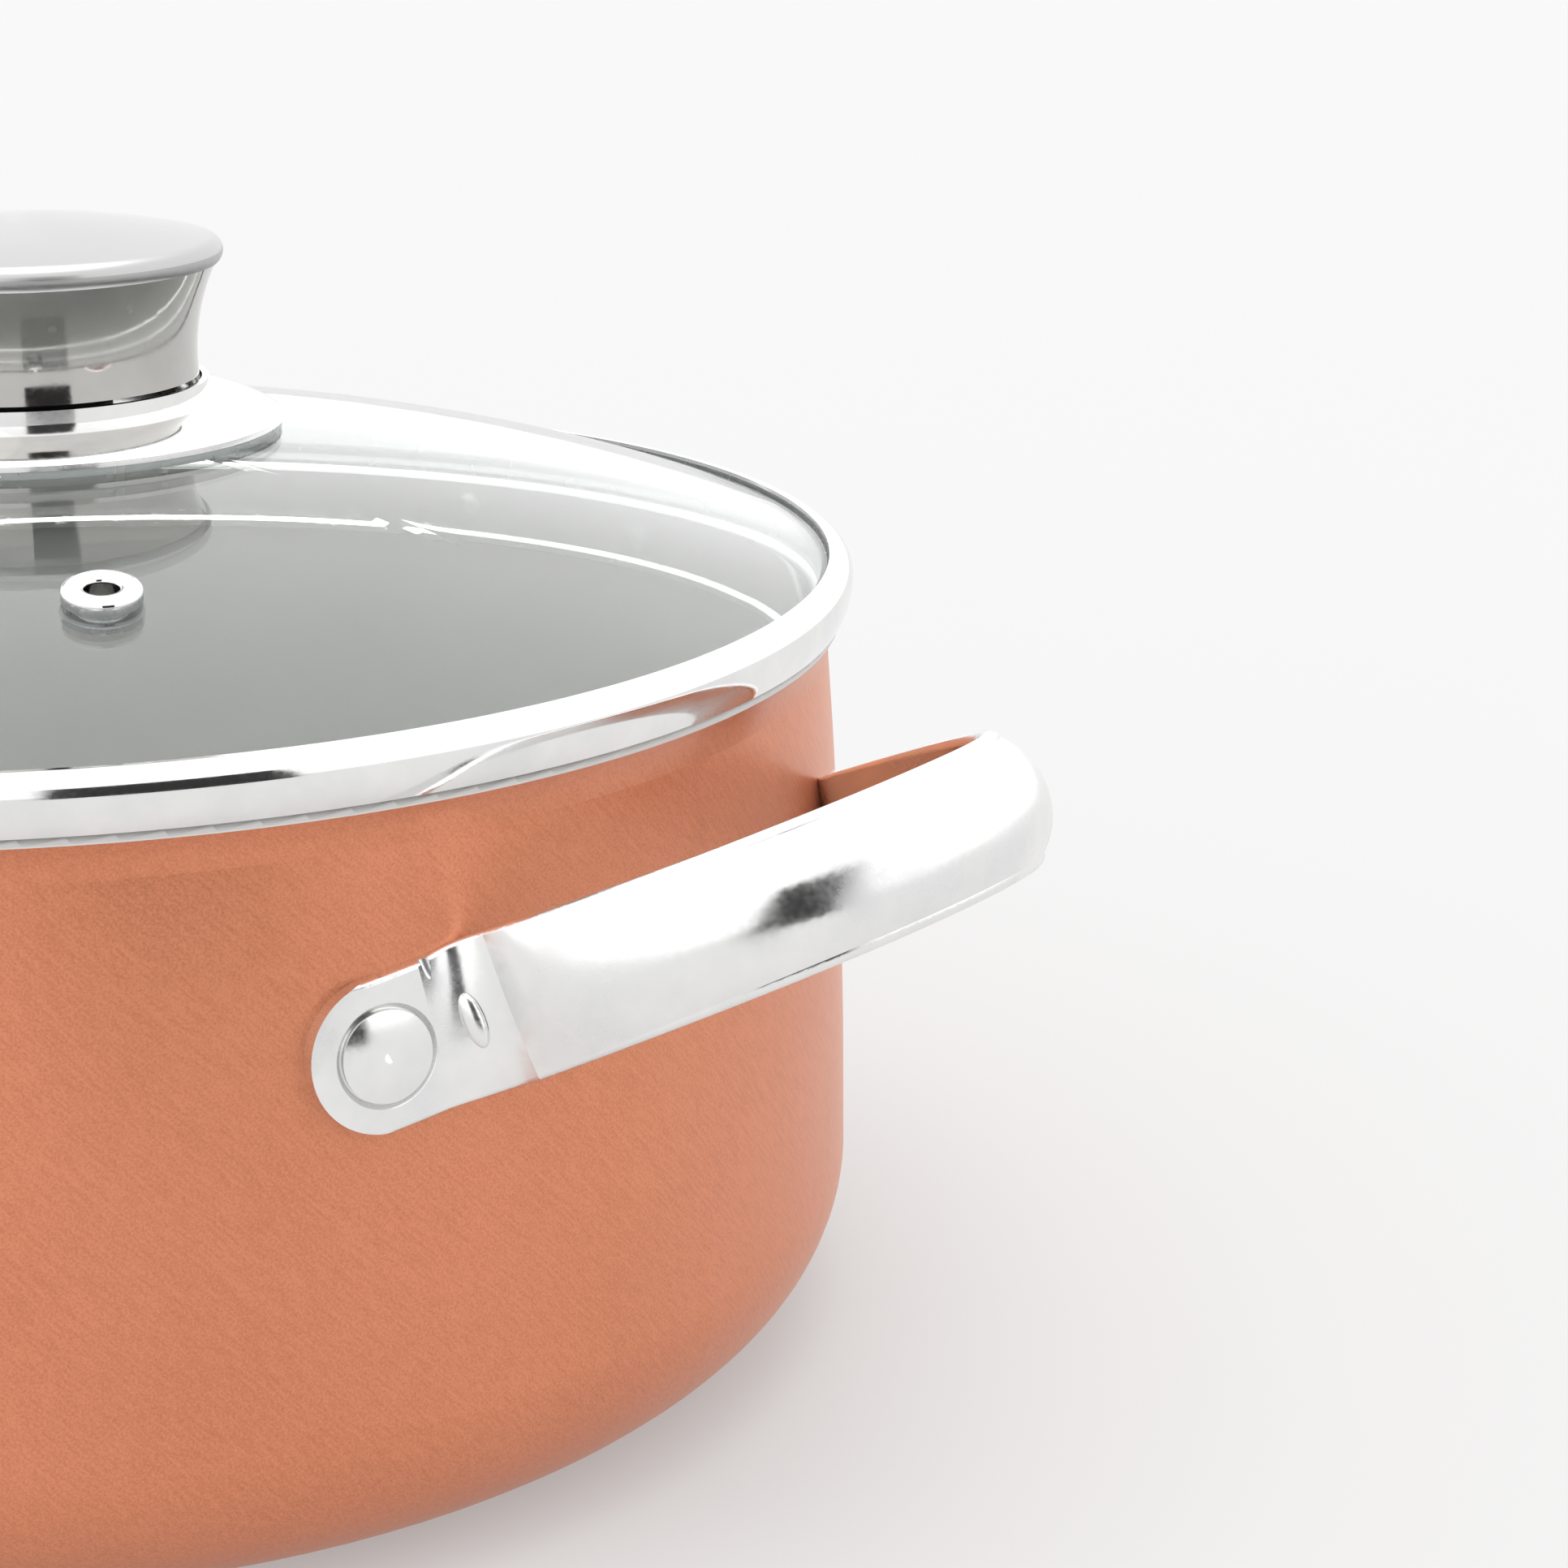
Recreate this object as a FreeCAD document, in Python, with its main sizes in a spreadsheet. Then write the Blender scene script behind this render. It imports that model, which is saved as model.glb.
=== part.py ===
"""Two-handled casserole with a lift-off glass lid, as a parametric FreeCAD document.

Millimetres. The origin is the centre of the underside, +Z is up, and the handles
stand out along +X and -X. Every size is a cell of the Size spreadsheet.
"""
import FreeCAD
import Part
import math
import os
import re

import Sketcher
from FreeCAD import Placement, Rotation, Vector

SIZES = (
    # the pot
    ("belly_radius", 124.9, "widest outer radius of the pot wall"),
    ("wall_bow", 1160.0, "radius of the wall's slight outward bow"),
    ("rim_height", 112.5, "top of the coated lip above the table"),
    ("corner_radius", 24.9, "outer rounding between wall and bottom"),
    ("wall", 2.0, "aluminium wall thickness"),
    ("floor", 4.0, "aluminium bottom thickness"),
    ("lining", 0.25, "non-stick lining thickness"),
    ("lip_cover", 1.1, "lining thickness on top of the lip"),
    ("lip_flare", 1.9, "how far the lip flares out from the wall"),
    ("lip_height", 5.4, "height of the flared lip"),
    ("lip_round", 0.9, "rounding of the coated lip"),
    ("disc_inset", 12.0, "from the corner's start in to the heat disc's edge"),
    ("disc_thick", 2.0, "thickness of the steel heat disc"),
    ("disc_stand", 0.4, "how far the disc stands below the aluminium"),
    ("disc_chamfer", 0.3, "chamfer at the disc's edge"),
    # the handles
    ("rivet_spacing", 110.8, "distance between one handle's two rivets"),
    ("rivet_drop", 33.5, "from the lip down to the rivets"),
    ("crease_spacing", 86.6, "distance between the two bends of one handle"),
    ("crease_rise", 2.4, "height of the bends above the rivets"),
    ("grip_reach", 43.4, "from the pot's widest radius out to the grip's centre line"),
    ("handle_rise", 25.4, "upward slope of the grips, in degrees"),
    ("bend_length", 7.0, "run of the bend between tab and grip"),
    ("tab_thick", 2.6, "thickness of the handle's riveted tabs"),
    ("tab_radius", 10.5, "radius of a tab's round end"),
    ("tab_crown", 0.35, "crown of a tab's outer face"),
    ("grip_half", 9.7, "half the width of the grip"),
    ("grip_thick", 6.8, "thickness of the grip"),
    ("grip_crown", 3.7, "crown of the grip's outer face"),
    ("edge_round", 0.65, "rounding of the tabs' long edges"),
    ("grip_round", 1.3, "rounding of the grip's long edges"),
    ("dart_width", 3.2, "width of the stiffening dart in each bend"),
    ("dart_length", 7.8, "length of the stiffening dart in each bend"),
    ("dart_height", 1.0, "height of the stiffening dart in each bend"),
    ("notch_width", 2.6, "width of the fold at the top of each bend"),
    ("notch_length", 7.0, "length of the fold at the top of each bend"),
    ("notch_depth", 0.7, "depth of the fold at the top of each bend"),
    # the rivets
    ("rivet_head", 6.3, "radius of a rivet's outer head"),
    ("rivet_head_thick", 1.0, "thickness of the outer head at its edge"),
    ("rivet_crown", 0.65, "crown of the outer head"),
    ("relief_gap", 0.15, "gap between a rivet head and the foot of its relief"),
    ("relief_radius", 7.3, "radius of the dished relief at the tab's face"),
    ("relief_depth", 0.9, "depth of the dished relief"),
    ("rivet_shank", 3.0, "radius of a rivet's shank"),
    ("rivet_fit", 0.05, "clearance around a rivet's shank"),
    ("set_head", 6.2, "radius of the rivet head inside the pot"),
    ("set_head_thick", 2.2, "height of the rivet head inside the pot"),
    ("set_head_edge", 0.6, "edge thickness of the head inside the pot"),
    # the lid's rim
    ("seat_gap", 0.3, "gap between the lid's band and the lip"),
    ("band_overhang", 2.0, "how far the lid's band reaches beyond the lip"),
    ("band_height", 8.2, "height of the band above its seat"),
    ("band_round", 3.1, "rounding at the top of the band"),
    ("band_sheet", 0.6, "sheet thickness of the band"),
    ("band_lip", 3.7, "width of the band seen from above"),
    ("band_foot", 1.4, "how far the band draws in at its foot"),
    ("skirt_gap", 0.95, "gap between the band's skirt and the lining"),
    ("skirt_depth", 12.8, "depth of the skirt below the band's seat"),
    ("skirt_bend", 1.2, "bend radius between seat and skirt"),
    ("hem_height", 2.3, "height of the hem at the skirt's lower edge"),
    ("hem_thick", 1.5, "thickness of the hem"),
    # the glass
    ("glass_curve", 348.0, "radius of the glass dome's outer face"),
    ("glass_thick", 4.0, "thickness of the glass"),
    ("glass_inset", 1.6, "from the band's outer radius to the glass edge"),
    ("glass_chamfer", 0.8, "chamfer of the glass edge"),
    ("seal_leg", 0.5, "silicone between the glass and the band's lip"),
    # the steam vent
    ("vent_distance", 82.0, "from the lid's centre to the vent"),
    ("vent_angle", -39.6, "bearing of the vent from +X, in degrees"),
    ("vent_hole", 3.6, "radius of the vent's hole in the glass"),
    ("vent_flange", 5.45, "radius of the eyelet's flange"),
    ("vent_bore", 2.3, "radius of the eyelet's bore"),
    ("vent_barrel", 3.3, "outer radius of the eyelet's barrel"),
    ("vent_sheet", 1.0, "thickness of the eyelet's flange"),
    ("vent_round", 0.8, "rounding of the eyelet's flange"),
    ("vent_gasket", 1.0, "thickness of the gasket above the glass"),
    ("vent_lower_gasket", 0.8, "thickness of the gasket below the glass"),
    ("vent_washer_thick", 0.8, "thickness of the washer below the glass"),
    ("vent_washer", 5.6, "radius of the washer below the glass"),
    ("vent_roll", 0.7, "thickness of the eyelet's rolled end"),
    # the knob and its skirt
    ("screw_hole", 4.5, "radius of the centre hole in the glass"),
    ("centre_gasket", 0.8, "gasket between the glass and the knob's skirt"),
    ("centre_gasket_radius", 12.0, "radius of that gasket"),
    ("skirt_radius", 38.7, "outer radius of the knob's skirt"),
    ("skirt_edge", 0.8, "edge height of the knob's skirt"),
    ("skirt_sheet", 1.0, "sheet thickness of the knob's skirt"),
    ("edge_gasket", 1.1, "silicone ring under the skirt's edge"),
    ("edge_gasket_width", 1.6, "width of that ring"),
    ("neck_radius", 27.6, "outer radius of the skirt's neck ring"),
    ("neck_height", 4.9, "height of the neck ring above the skirt's plate"),
    ("neck_foot", 2.4, "height of the neck ring above the skirt's dome"),
    ("knob_gap", 0.5, "shadow gap between neck ring and knob"),
    ("waist_radius", 26.1, "radius of the knob's waist"),
    ("waist_height", 2.6, "height of the waist above the knob's lower edge"),
    ("knob_curve", 32.2, "radius of the knob's hollow side"),
    ("knob_height", 17.1, "height of the knob's side"),
    ("knob_sheet", 0.8, "sheet thickness of the knob"),
    ("cap_lip", 29.9, "radius of the cap's lower lip"),
    ("cap_radius", 30.6, "widest radius of the cap"),
    ("cap_belt", 1.8, "height of the cap's widest point above its lip"),
    ("cap_round", 2.3, "rounding of the cap's edge"),
    ("cap_shoulder", 1.7, "width of the cap's rounded edge"),
    ("cap_shoulder_rise", 1.9, "height of the cap's rounded edge"),
    ("cap_rise", 3.3, "rise of the cap's dome"),
    ("cap_sheet", 0.9, "sheet thickness of the cap"),
    ("boss_radius", 13.0, "radius of the core's boss"),
    ("boss_gap", 1.2, "from the knob's lower edge up to the core"),
    # the screw through the glass
    ("insert_radius", 4.5, "outer radius of the threaded insert"),
    ("insert_length", 13.0, "length of the threaded insert"),
    ("screw_radius", 2.5, "radius of the knob screw"),
    ("screw_fit", 0.05, "clearance around the screw in the insert"),
    ("screw_clear", 3.2, "radius of the screw's clearance holes"),
    ("screw_end", 2.0, "from the screw's end to the insert's top"),
    ("screw_head", 4.7, "radius of the screw's head"),
    ("screw_head_thick", 3.0, "height of the screw's head"),
    ("screw_head_edge", 1.6, "edge height of the screw's head"),
    ("washer_radius", 9.0, "radius of the washer and gasket under the glass"),
    ("washer_thick", 0.9, "thickness of the washer under the glass"),
    ("washer_gasket", 0.8, "thickness of the gasket under the glass"),
    ("recess_length", 5.2, "length of the screw's cross recess"),
    ("recess_width", 1.1, "width of the screw's cross recess"),
    ("recess_depth", 1.5, "depth of the screw's cross recess"),
)
ALIASES = {alias for alias, _, _ in SIZES}

DOC = FreeCAD.newDocument("casserole")
SHEET = DOC.addObject("Spreadsheet::Sheet", "Size")
for row, (alias, number, note) in enumerate(SIZES, 1):
    SHEET.set(f"A{row}", note)
    SHEET.set(f"B{row}", str(number))
    SHEET.setAlias(f"B{row}", alias)
PROBE = DOC.addObject("App::FeaturePython", "Number")
PROBE.addProperty("App::PropertyFloat", "Result")
DOC.recompute()

# Lengths and heights that follow from the sheet, as expressions
CORNER_TOP = "(disc_stand + corner_radius)"
SHELL_TOP = "(rim_height - lip_cover)"
FLARE_FOOT = "(rim_height - lip_cover - lip_height)"
FLOOR_TOP = "(disc_stand + floor)"
BASE_RADIUS = "(belly_radius - corner_radius)"
DISC_RADIUS = f"({BASE_RADIUS} - disc_inset)"
INNER_CORNER = "(corner_radius - floor)"
WALL_TOP = f"(belly_radius - wall_bow + sqrt(wall_bow^2 - ({FLARE_FOOT} - {CORNER_TOP})^2))"
LIP_RADIUS = f"({WALL_TOP} + lip_flare)"
FLARE_CURVE = "((lip_height^2 + lip_flare^2) / (2 * lip_flare))"
RIVET_HEIGHT = "(rim_height - rivet_drop)"
CREASE_HEIGHT = f"({RIVET_HEIGHT} + crease_rise)"

BAND_RADIUS = f"({LIP_RADIUS} + band_overhang)"
SEAT = "(rim_height + seat_gap)"
BAND_TOP = f"({SEAT} + band_height)"
BAND_BELT = f"({BAND_TOP} - band_round)"
BAND_MOUTH = f"({BAND_RADIUS} - band_lip)"
BAND_FOOT = f"({BAND_RADIUS} - band_foot)"
FOOT_CURVE = "(((band_height - band_round)^2 + band_foot^2) / (2 * band_foot))"
FOOT_INNER_CURVE = "(((band_height - band_round - band_sheet)^2 + band_foot^2) / (2 * band_foot))"
SKIRT = f"({WALL_TOP} - wall - lining - skirt_gap)"
SKIRT_FOOT = f"({SEAT} - skirt_depth)"
SEAL_INNER = f"({SKIRT} + skirt_bend)"

GLASS_EDGE = f"({BAND_RADIUS} - glass_inset)"
GLASS_RIM = f"({BAND_TOP} - band_sheet - seal_leg)"
GLASS_CENTRE = f"({GLASS_RIM} - sqrt(glass_curve^2 - {BAND_MOUTH}^2))"
APEX = f"({GLASS_CENTRE} + glass_curve)"
UNDER_CURVE = "(glass_curve - glass_thick)"


def glass_top(radius):
    """Height of the glass's outer face at this radius."""
    return f"({GLASS_CENTRE} + sqrt(glass_curve^2 - ({radius})^2))"


def glass_under(radius):
    """Height of the glass's inner face at this radius."""
    return f"({GLASS_CENTRE} + sqrt({UNDER_CURVE}^2 - ({radius})^2))"


PLATE = f"({APEX} + centre_gasket)"
PLATE_TOP = f"({PLATE} + skirt_sheet)"
NECK_TOP = f"({PLATE} + neck_height)"
NECK_FOOT = f"({NECK_TOP} - neck_foot)"
SKIRT_EDGE = f"({glass_top('skirt_radius - skirt_sheet')} + edge_gasket)"
DOME_RUN = "(skirt_radius - neck_radius)"
DOME_DROP = f"({NECK_FOOT} - {SKIRT_EDGE} - skirt_edge)"
DOME_CURVE = f"(({DOME_RUN}^2 + {DOME_DROP}^2) / (2 * {DOME_DROP}))"
KNOB_FOOT = f"({NECK_TOP} + knob_gap)"
KNOB_TOP = f"({KNOB_FOOT} + knob_height)"
WAIST = f"({KNOB_FOOT} + waist_height)"
CORE_FOOT = f"({KNOB_FOOT} + boss_gap)"
INSERT_TOP = f"({PLATE_TOP} + insert_length)"


def knob_side(height):
    """Outer radius of the knob's hollow side at this height."""
    return f"(waist_radius + knob_curve - sqrt(knob_curve^2 - ({height} - {WAIST})^2))"


CAP_BELT = f"({KNOB_TOP} + cap_belt)"
CAP_SHOULDER = f"({CAP_BELT} + cap_shoulder_rise)"
CAP_DOME = "(cap_radius - cap_shoulder)"
CAP_TOP = f"({CAP_SHOULDER} + cap_rise)"
CAP_CURVE = f"(({CAP_DOME}^2 + cap_rise^2) / (2 * cap_rise))"
GASKET_FOOT = f"({APEX} - glass_thick - washer_gasket)"
WASHER_FOOT = f"({GASKET_FOOT} - washer_thick)"
HEAD_FOOT = f"({WASHER_FOOT} - screw_head_thick)"

SCREW_CROWN = "(screw_head_thick - screw_head_edge)"
SCREW_CURVE = f"((screw_head^2 + {SCREW_CROWN}^2) / (2 * {SCREW_CROWN}))"

LEFT = 1    # an arc that turns left on its way to the next corner
RIGHT = -1  # an arc that turns right

# Cross-sections along half a handle: on its tab, through its bend and along its grip
TAB_STEPS = 4
BEND_STEPS = 6
GRIP_STEPS = 9


def bind(text):
    """The expression with every alias written as a cell of the Size sheet."""
    return re.sub(r"[a-z]\w*", lambda word: "Size." + word[0] if word[0] in ALIASES else word[0], text)


def value(text):
    """The expression's number, worked out by an object bound to the sheet."""
    PROBE.setExpression("Result", bind(text))
    DOC.recompute([PROBE])
    return PROBE.Result


def arc_between(start, end, radius, turn):
    """The short arc of this radius from start to end, and its first and last point numbers."""
    half = (end - start) / 2
    rise = math.sqrt(max(radius ** 2 - half.Length ** 2, 0.0))
    left = Vector(-half.y, half.x, 0).normalize()
    centre = start + half + left * (rise * turn)
    begin, finish = (math.atan2(p.y - centre.y, p.x - centre.x) for p in (start, end))
    circle = Part.Circle(centre, Vector(0, 0, 1), radius)
    if turn == LEFT:
        return Part.ArcOfCircle(circle, begin, finish), 1, 2
    return Part.ArcOfCircle(circle, finish, begin), 2, 1


def draw(sketch, corners):
    """Closed outline through corners (x, y) or, before an arc, (x, y, radius, turn)."""
    points = [Vector(value(c[0]), value(c[1]), 0) for c in corners]
    joints = []
    for corner, start, end in zip(corners, points, points[1:] + points[:1]):
        if len(corner) == 2:
            edge, first, last = Part.LineSegment(start, end), 1, 2
        else:
            edge, first, last = arc_between(start, end, value(corner[2]), corner[3])
        index = sketch.addGeometry(edge, False)
        joints.append((index, first, last))
        if len(corner) > 2:
            fix(sketch, Sketcher.Constraint("Radius", index, value(corner[2])), corner[2])
    for corner, (index, first, _), before in zip(corners, joints, joints[-1:] + joints[:-1]):
        sketch.addConstraint(Sketcher.Constraint("Coincident", before[0], before[2], index, first))
        for kind, text, axis in (("DistanceX", corner[0], -2), ("DistanceY", corner[1], -1)):
            if text == "0":
                sketch.addConstraint(Sketcher.Constraint("PointOnObject", index, first, axis))
            else:
                fix(sketch, Sketcher.Constraint(kind, -1, 1, index, first, value(text)), text)


def fix(sketch, constraint, text):
    """Add a constraint and bind it to its expression."""
    number = sketch.addConstraint(constraint)
    sketch.setExpression(f"Constraints[{number}]", bind(text))


def turned(name, corners):
    """A body turned about Z from a profile of (radius, height) corners."""
    body = DOC.addObject("PartDesign::Body", name)
    sketch = body.newObject("Sketcher::SketchObject", name + "_profile")
    plane = next(f for f in body.Origin.OriginFeatures if f.Role == "XZ_Plane")
    sketch.AttachmentSupport = (plane, [""])
    sketch.MapMode = "FlatFace"
    draw(sketch, corners)
    turn = body.newObject("PartDesign::Revolution", name + "_turn")
    turn.Profile = sketch
    turn.ReferenceAxis = (sketch, ["V_Axis"])
    turn.Angle = 360
    return body


def cylinder(name, radius, length, placement):
    """A cylinder whose radius and length are bound to the sheet."""
    solid = DOC.addObject("Part::Cylinder", name)
    solid.setExpression("Radius", bind(radius))
    solid.setExpression("Height", bind(length))
    solid.Placement = placement
    return solid


def together(name, solids):
    """The solids as one cutting tool."""
    fuse = DOC.addObject("Part::MultiFuse", name)
    fuse.Shapes = solids
    return fuse


def cut(name, base, tool):
    """The base with the tool taken out."""
    result = DOC.addObject("Part::Cut", name)
    result.Base = base
    result.Tool = tool
    return result


def wall_radius(height):
    """Outer radius of the pot wall at this height, as a number."""
    bow = value("wall_bow")
    return value("belly_radius") - bow + math.sqrt(bow ** 2 - (height - value(CORNER_TOP)) ** 2)


def wall_normal(height, azimuth):
    """Outward normal of the pot wall at this height and azimuth."""
    tilt = math.asin((height - value(CORNER_TOP)) / value("wall_bow"))
    return Vector(math.cos(tilt) * math.cos(azimuth), math.cos(tilt) * math.sin(azimuth), math.sin(tilt))


def rivet_azimuth():
    """Angle between a handle's middle and each of its rivets."""
    return math.asin(value("rivet_spacing") / 2 / wall_radius(value(RIVET_HEIGHT)))


def rivet_place(azimuth, offset=0.0):
    """Place on a rivet's axis, +Z outward, at this distance from the wall's outer face."""
    height = value(RIVET_HEIGHT)
    radius = wall_radius(height)
    normal = wall_normal(height, azimuth)
    point = Vector(radius * math.cos(azimuth), radius * math.sin(azimuth), height)
    return Placement(point + normal * offset, Rotation(Vector(0, 0, 1), normal))


RIVET_PLACES = {
    "rivet_right_front": -rivet_azimuth(),
    "rivet_right_rear": rivet_azimuth(),
    "rivet_left_front": math.pi + rivet_azimuth(),
    "rivet_left_rear": math.pi - rivet_azimuth(),
}


def inner_curve(thickness, foot, reverse=False):
    """Corners along the pot's inside, this far in from the aluminium, from floor to lip."""
    inward = f"- wall{thickness}"
    rising = [
        (f"{BASE_RADIUS} + floor - wall", foot, f"{INNER_CORNER}{thickness}", LEFT),
        (f"belly_radius {inward}", CORNER_TOP, "wall_bow", LEFT),
        (f"{WALL_TOP} {inward}", FLARE_FOOT, FLARE_CURVE, RIGHT),
    ]
    top = (f"{LIP_RADIUS} {inward}", SHELL_TOP)
    if not reverse:
        return rising + [top]
    corners = [c[:2] for c in rising] + [top]
    arcs = [(radius, -turn) for _, _, radius, turn in rising]
    return [corner + arc for corner, arc in zip(corners[:0:-1], arcs[::-1])] + [corners[0]]


def make_pot():
    """The aluminium shell, its lining and the steel disc under it."""
    shell_blank = turned("pot_shell_blank", [
        ("0", "disc_thick"),
        (DISC_RADIUS, "disc_thick"),
        (DISC_RADIUS, "disc_stand"),
        (BASE_RADIUS, "disc_stand", "corner_radius", LEFT),
        ("belly_radius", CORNER_TOP, "wall_bow", LEFT),
        (WALL_TOP, FLARE_FOOT, FLARE_CURVE, RIGHT),
        (LIP_RADIUS, SHELL_TOP),
    ] + inner_curve("", FLOOR_TOP, reverse=True) + [("0", FLOOR_TOP)])
    lining_blank = turned("nonstick_lining_blank", [("0", FLOOR_TOP)] + inner_curve("", FLOOR_TOP) + [
        (LIP_RADIUS, SHELL_TOP),
        (LIP_RADIUS, "rim_height - lip_round", "lip_round", LEFT),
        (f"{LIP_RADIUS} - lip_round", "rim_height"),
        (f"{LIP_RADIUS} - wall - lining + lip_round", "rim_height", "lip_round", LEFT),
        (f"{LIP_RADIUS} - wall - lining", "rim_height - lip_round"),
    ] + inner_curve(" - lining", f"{FLOOR_TOP} + lining", reverse=True) + [("0", f"{FLOOR_TOP} + lining")])
    disc = turned("base_disc", [
        ("0", "0"),
        (f"{DISC_RADIUS} - disc_chamfer", "0"),
        (DISC_RADIUS, "disc_chamfer"),
        (DISC_RADIUS, "disc_thick"),
        ("0", "disc_thick"),
    ])
    reach = "3 * (wall + lining)"
    start = -value(reach)
    holes = together("rivet_holes", [
        cylinder(name + "_hole", "rivet_shank + rivet_fit", f"2 * {reach}", rivet_place(azimuth, start))
        for name, azimuth in RIVET_PLACES.items()
    ])
    return [cut("pot_shell", shell_blank, holes), cut("nonstick_lining", lining_blank, holes), disc]


def make_rivets():
    """Four rivets through tab, wall and lining, each with a head on both sides."""
    pocket = "tab_thick - relief_depth"
    inner = f"({WALL_TOP} - wall - lining)"
    sag = f"({inner} - sqrt({inner}^2 - set_head^2))"
    seat = f"-(wall + lining + {sag})"
    crown = "(set_head_thick - set_head_edge)"
    rivets = []
    for name, azimuth in RIVET_PLACES.items():
        rivet = turned(name, [
            ("0", f"{seat} - set_head_thick", f"((set_head^2 + {crown}^2) / (2 * {crown}))", LEFT),
            ("set_head", f"{seat} - set_head_edge"),
            ("set_head", seat),
            ("rivet_shank", seat),
            ("rivet_shank", pocket),
            ("rivet_head", pocket),
            ("rivet_head", f"{pocket} + rivet_head_thick",
             "((rivet_head^2 + rivet_crown^2) / (2 * rivet_crown))", LEFT),
            ("0", f"{pocket} + rivet_head_thick + rivet_crown"),
        ])
        rivet.Placement = rivet_place(azimuth)
        rivets.append(rivet)
    return rivets


def strap_section(place, across, outward, half, thick, crown, rounding, sink):
    """One closed cross-section of a handle: flat inside, crowned outside, with rounded edges."""
    inside = -thick / 2 - sink
    edge = thick / 2 - crown

    def at(sideways, out):
        return place + across * sideways + outward * out

    def corner(side, out, turn_in):
        """The three points of a rounded corner, from the side face to the broad face."""
        slant = rounding * (1 - math.sqrt(0.5))
        return (at(side * half, out - turn_in * rounding), at(side * (half - slant), out - turn_in * slant),
                at(side * (half - rounding), out))

    low_in, high_in = corner(-1, inside, -1), corner(1, inside, -1)
    low_out, high_out = corner(-1, edge, 1), corner(1, edge, 1)
    return Part.Wire([
        Part.LineSegment(low_in[2], high_in[2]).toShape(),
        Part.Arc(high_in[2], high_in[1], high_in[0]).toShape(),
        Part.LineSegment(high_in[0], high_out[0]).toShape(),
        Part.Arc(high_out[0], high_out[1], high_out[2]).toShape(),
        Part.Arc(high_out[2], at(0, thick / 2), low_out[2]).toShape(),
        Part.Arc(low_out[2], low_out[1], low_out[0]).toShape(),
        Part.LineSegment(low_out[0], low_in[0]).toShape(),
        Part.Arc(low_in[0], low_in[1], low_in[2]).toShape(),
    ])


def strap_route():
    """Half of a handle's centre line: (place, direction, across, grip share) from tab end to middle."""
    rivet_z, crease_z = value(RIVET_HEIGHT), value(CREASE_HEIGHT)
    slope = math.radians(value("handle_rise"))
    run = value("bend_length")
    side = value("crease_spacing") / 2
    centre_radius = wall_radius(crease_z) + value("tab_thick") / 2
    crease = math.asin(side / centre_radius)
    rivet = rivet_azimuth()
    climb = (crease_z - rivet_z) / (rivet - crease)
    grip_across = Vector(-math.sin(slope), 0, math.cos(slope))

    def on_tab(azimuth):
        height = rivet_z + climb * (rivet - azimuth)
        radius = wall_radius(height) + value("tab_thick") / 2
        place = Vector(radius * math.cos(azimuth), radius * math.sin(azimuth), height)
        direction = Vector(math.sin(azimuth), -math.cos(azimuth), climb / radius).normalize()
        return place, direction, direction.cross(wall_normal(height, azimuth))

    route = []
    far = rivet + (value("tab_radius") + 1.0) / centre_radius
    near = crease + run / centre_radius
    for step in range(TAB_STEPS):
        route.append((*on_tab(far + (near - far) * step / TAB_STEPS), 0.0))

    start, first, tab_across = on_tab(near)
    corner = Vector(math.sqrt(centre_radius ** 2 - side ** 2), side, crease_z)
    ahead = Vector(math.cos(slope), 0, math.sin(slope))
    end = corner + ahead * run
    for step in range(BEND_STEPS):
        t = step / BEND_STEPS
        place = start * (1 - t) ** 2 + corner * (2 * t * (1 - t)) + end * t ** 2
        direction = ((corner - start) * (1 - t) + (end - corner) * t).normalize()
        across = tab_across * (1 - t) + grip_across * t
        route.append((place, direction, across, 0.0))

    reach = value("belly_radius + grip_reach") - end.x
    for step in range(GRIP_STEPS + 1):
        angle = math.pi / 2 * step / GRIP_STEPS
        out = reach * math.sin(angle)
        place = Vector(end.x + out, side * math.cos(angle), end.z + out * math.tan(slope))
        forward = reach * math.cos(angle)
        direction = Vector(forward, -side * math.sin(angle), forward * math.tan(slope)).normalize()
        route.append((place, direction, grip_across, 1 - (1 - math.sin(angle)) ** 2))
    return route


def swelling(name, place, turn):
    """The flat ellipsoid of a dart or notch at this place."""
    stretch = FreeCAD.Matrix()
    stretch.scale(value(name + "_width") / 2, value(name + "_length") / 2,
                  value("dart_height" if name == "dart" else "notch_depth"))
    shape = Part.makeSphere(1.0).transformGeometry(stretch)
    shape.Placement = Placement(place, turn)
    return shape


def both_ends(shape):
    """The shape at one bend of a handle and its mirror image at the other."""
    return [shape, shape.mirror(Vector(0, 0, 0), Vector(0, 1, 0))]


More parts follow.
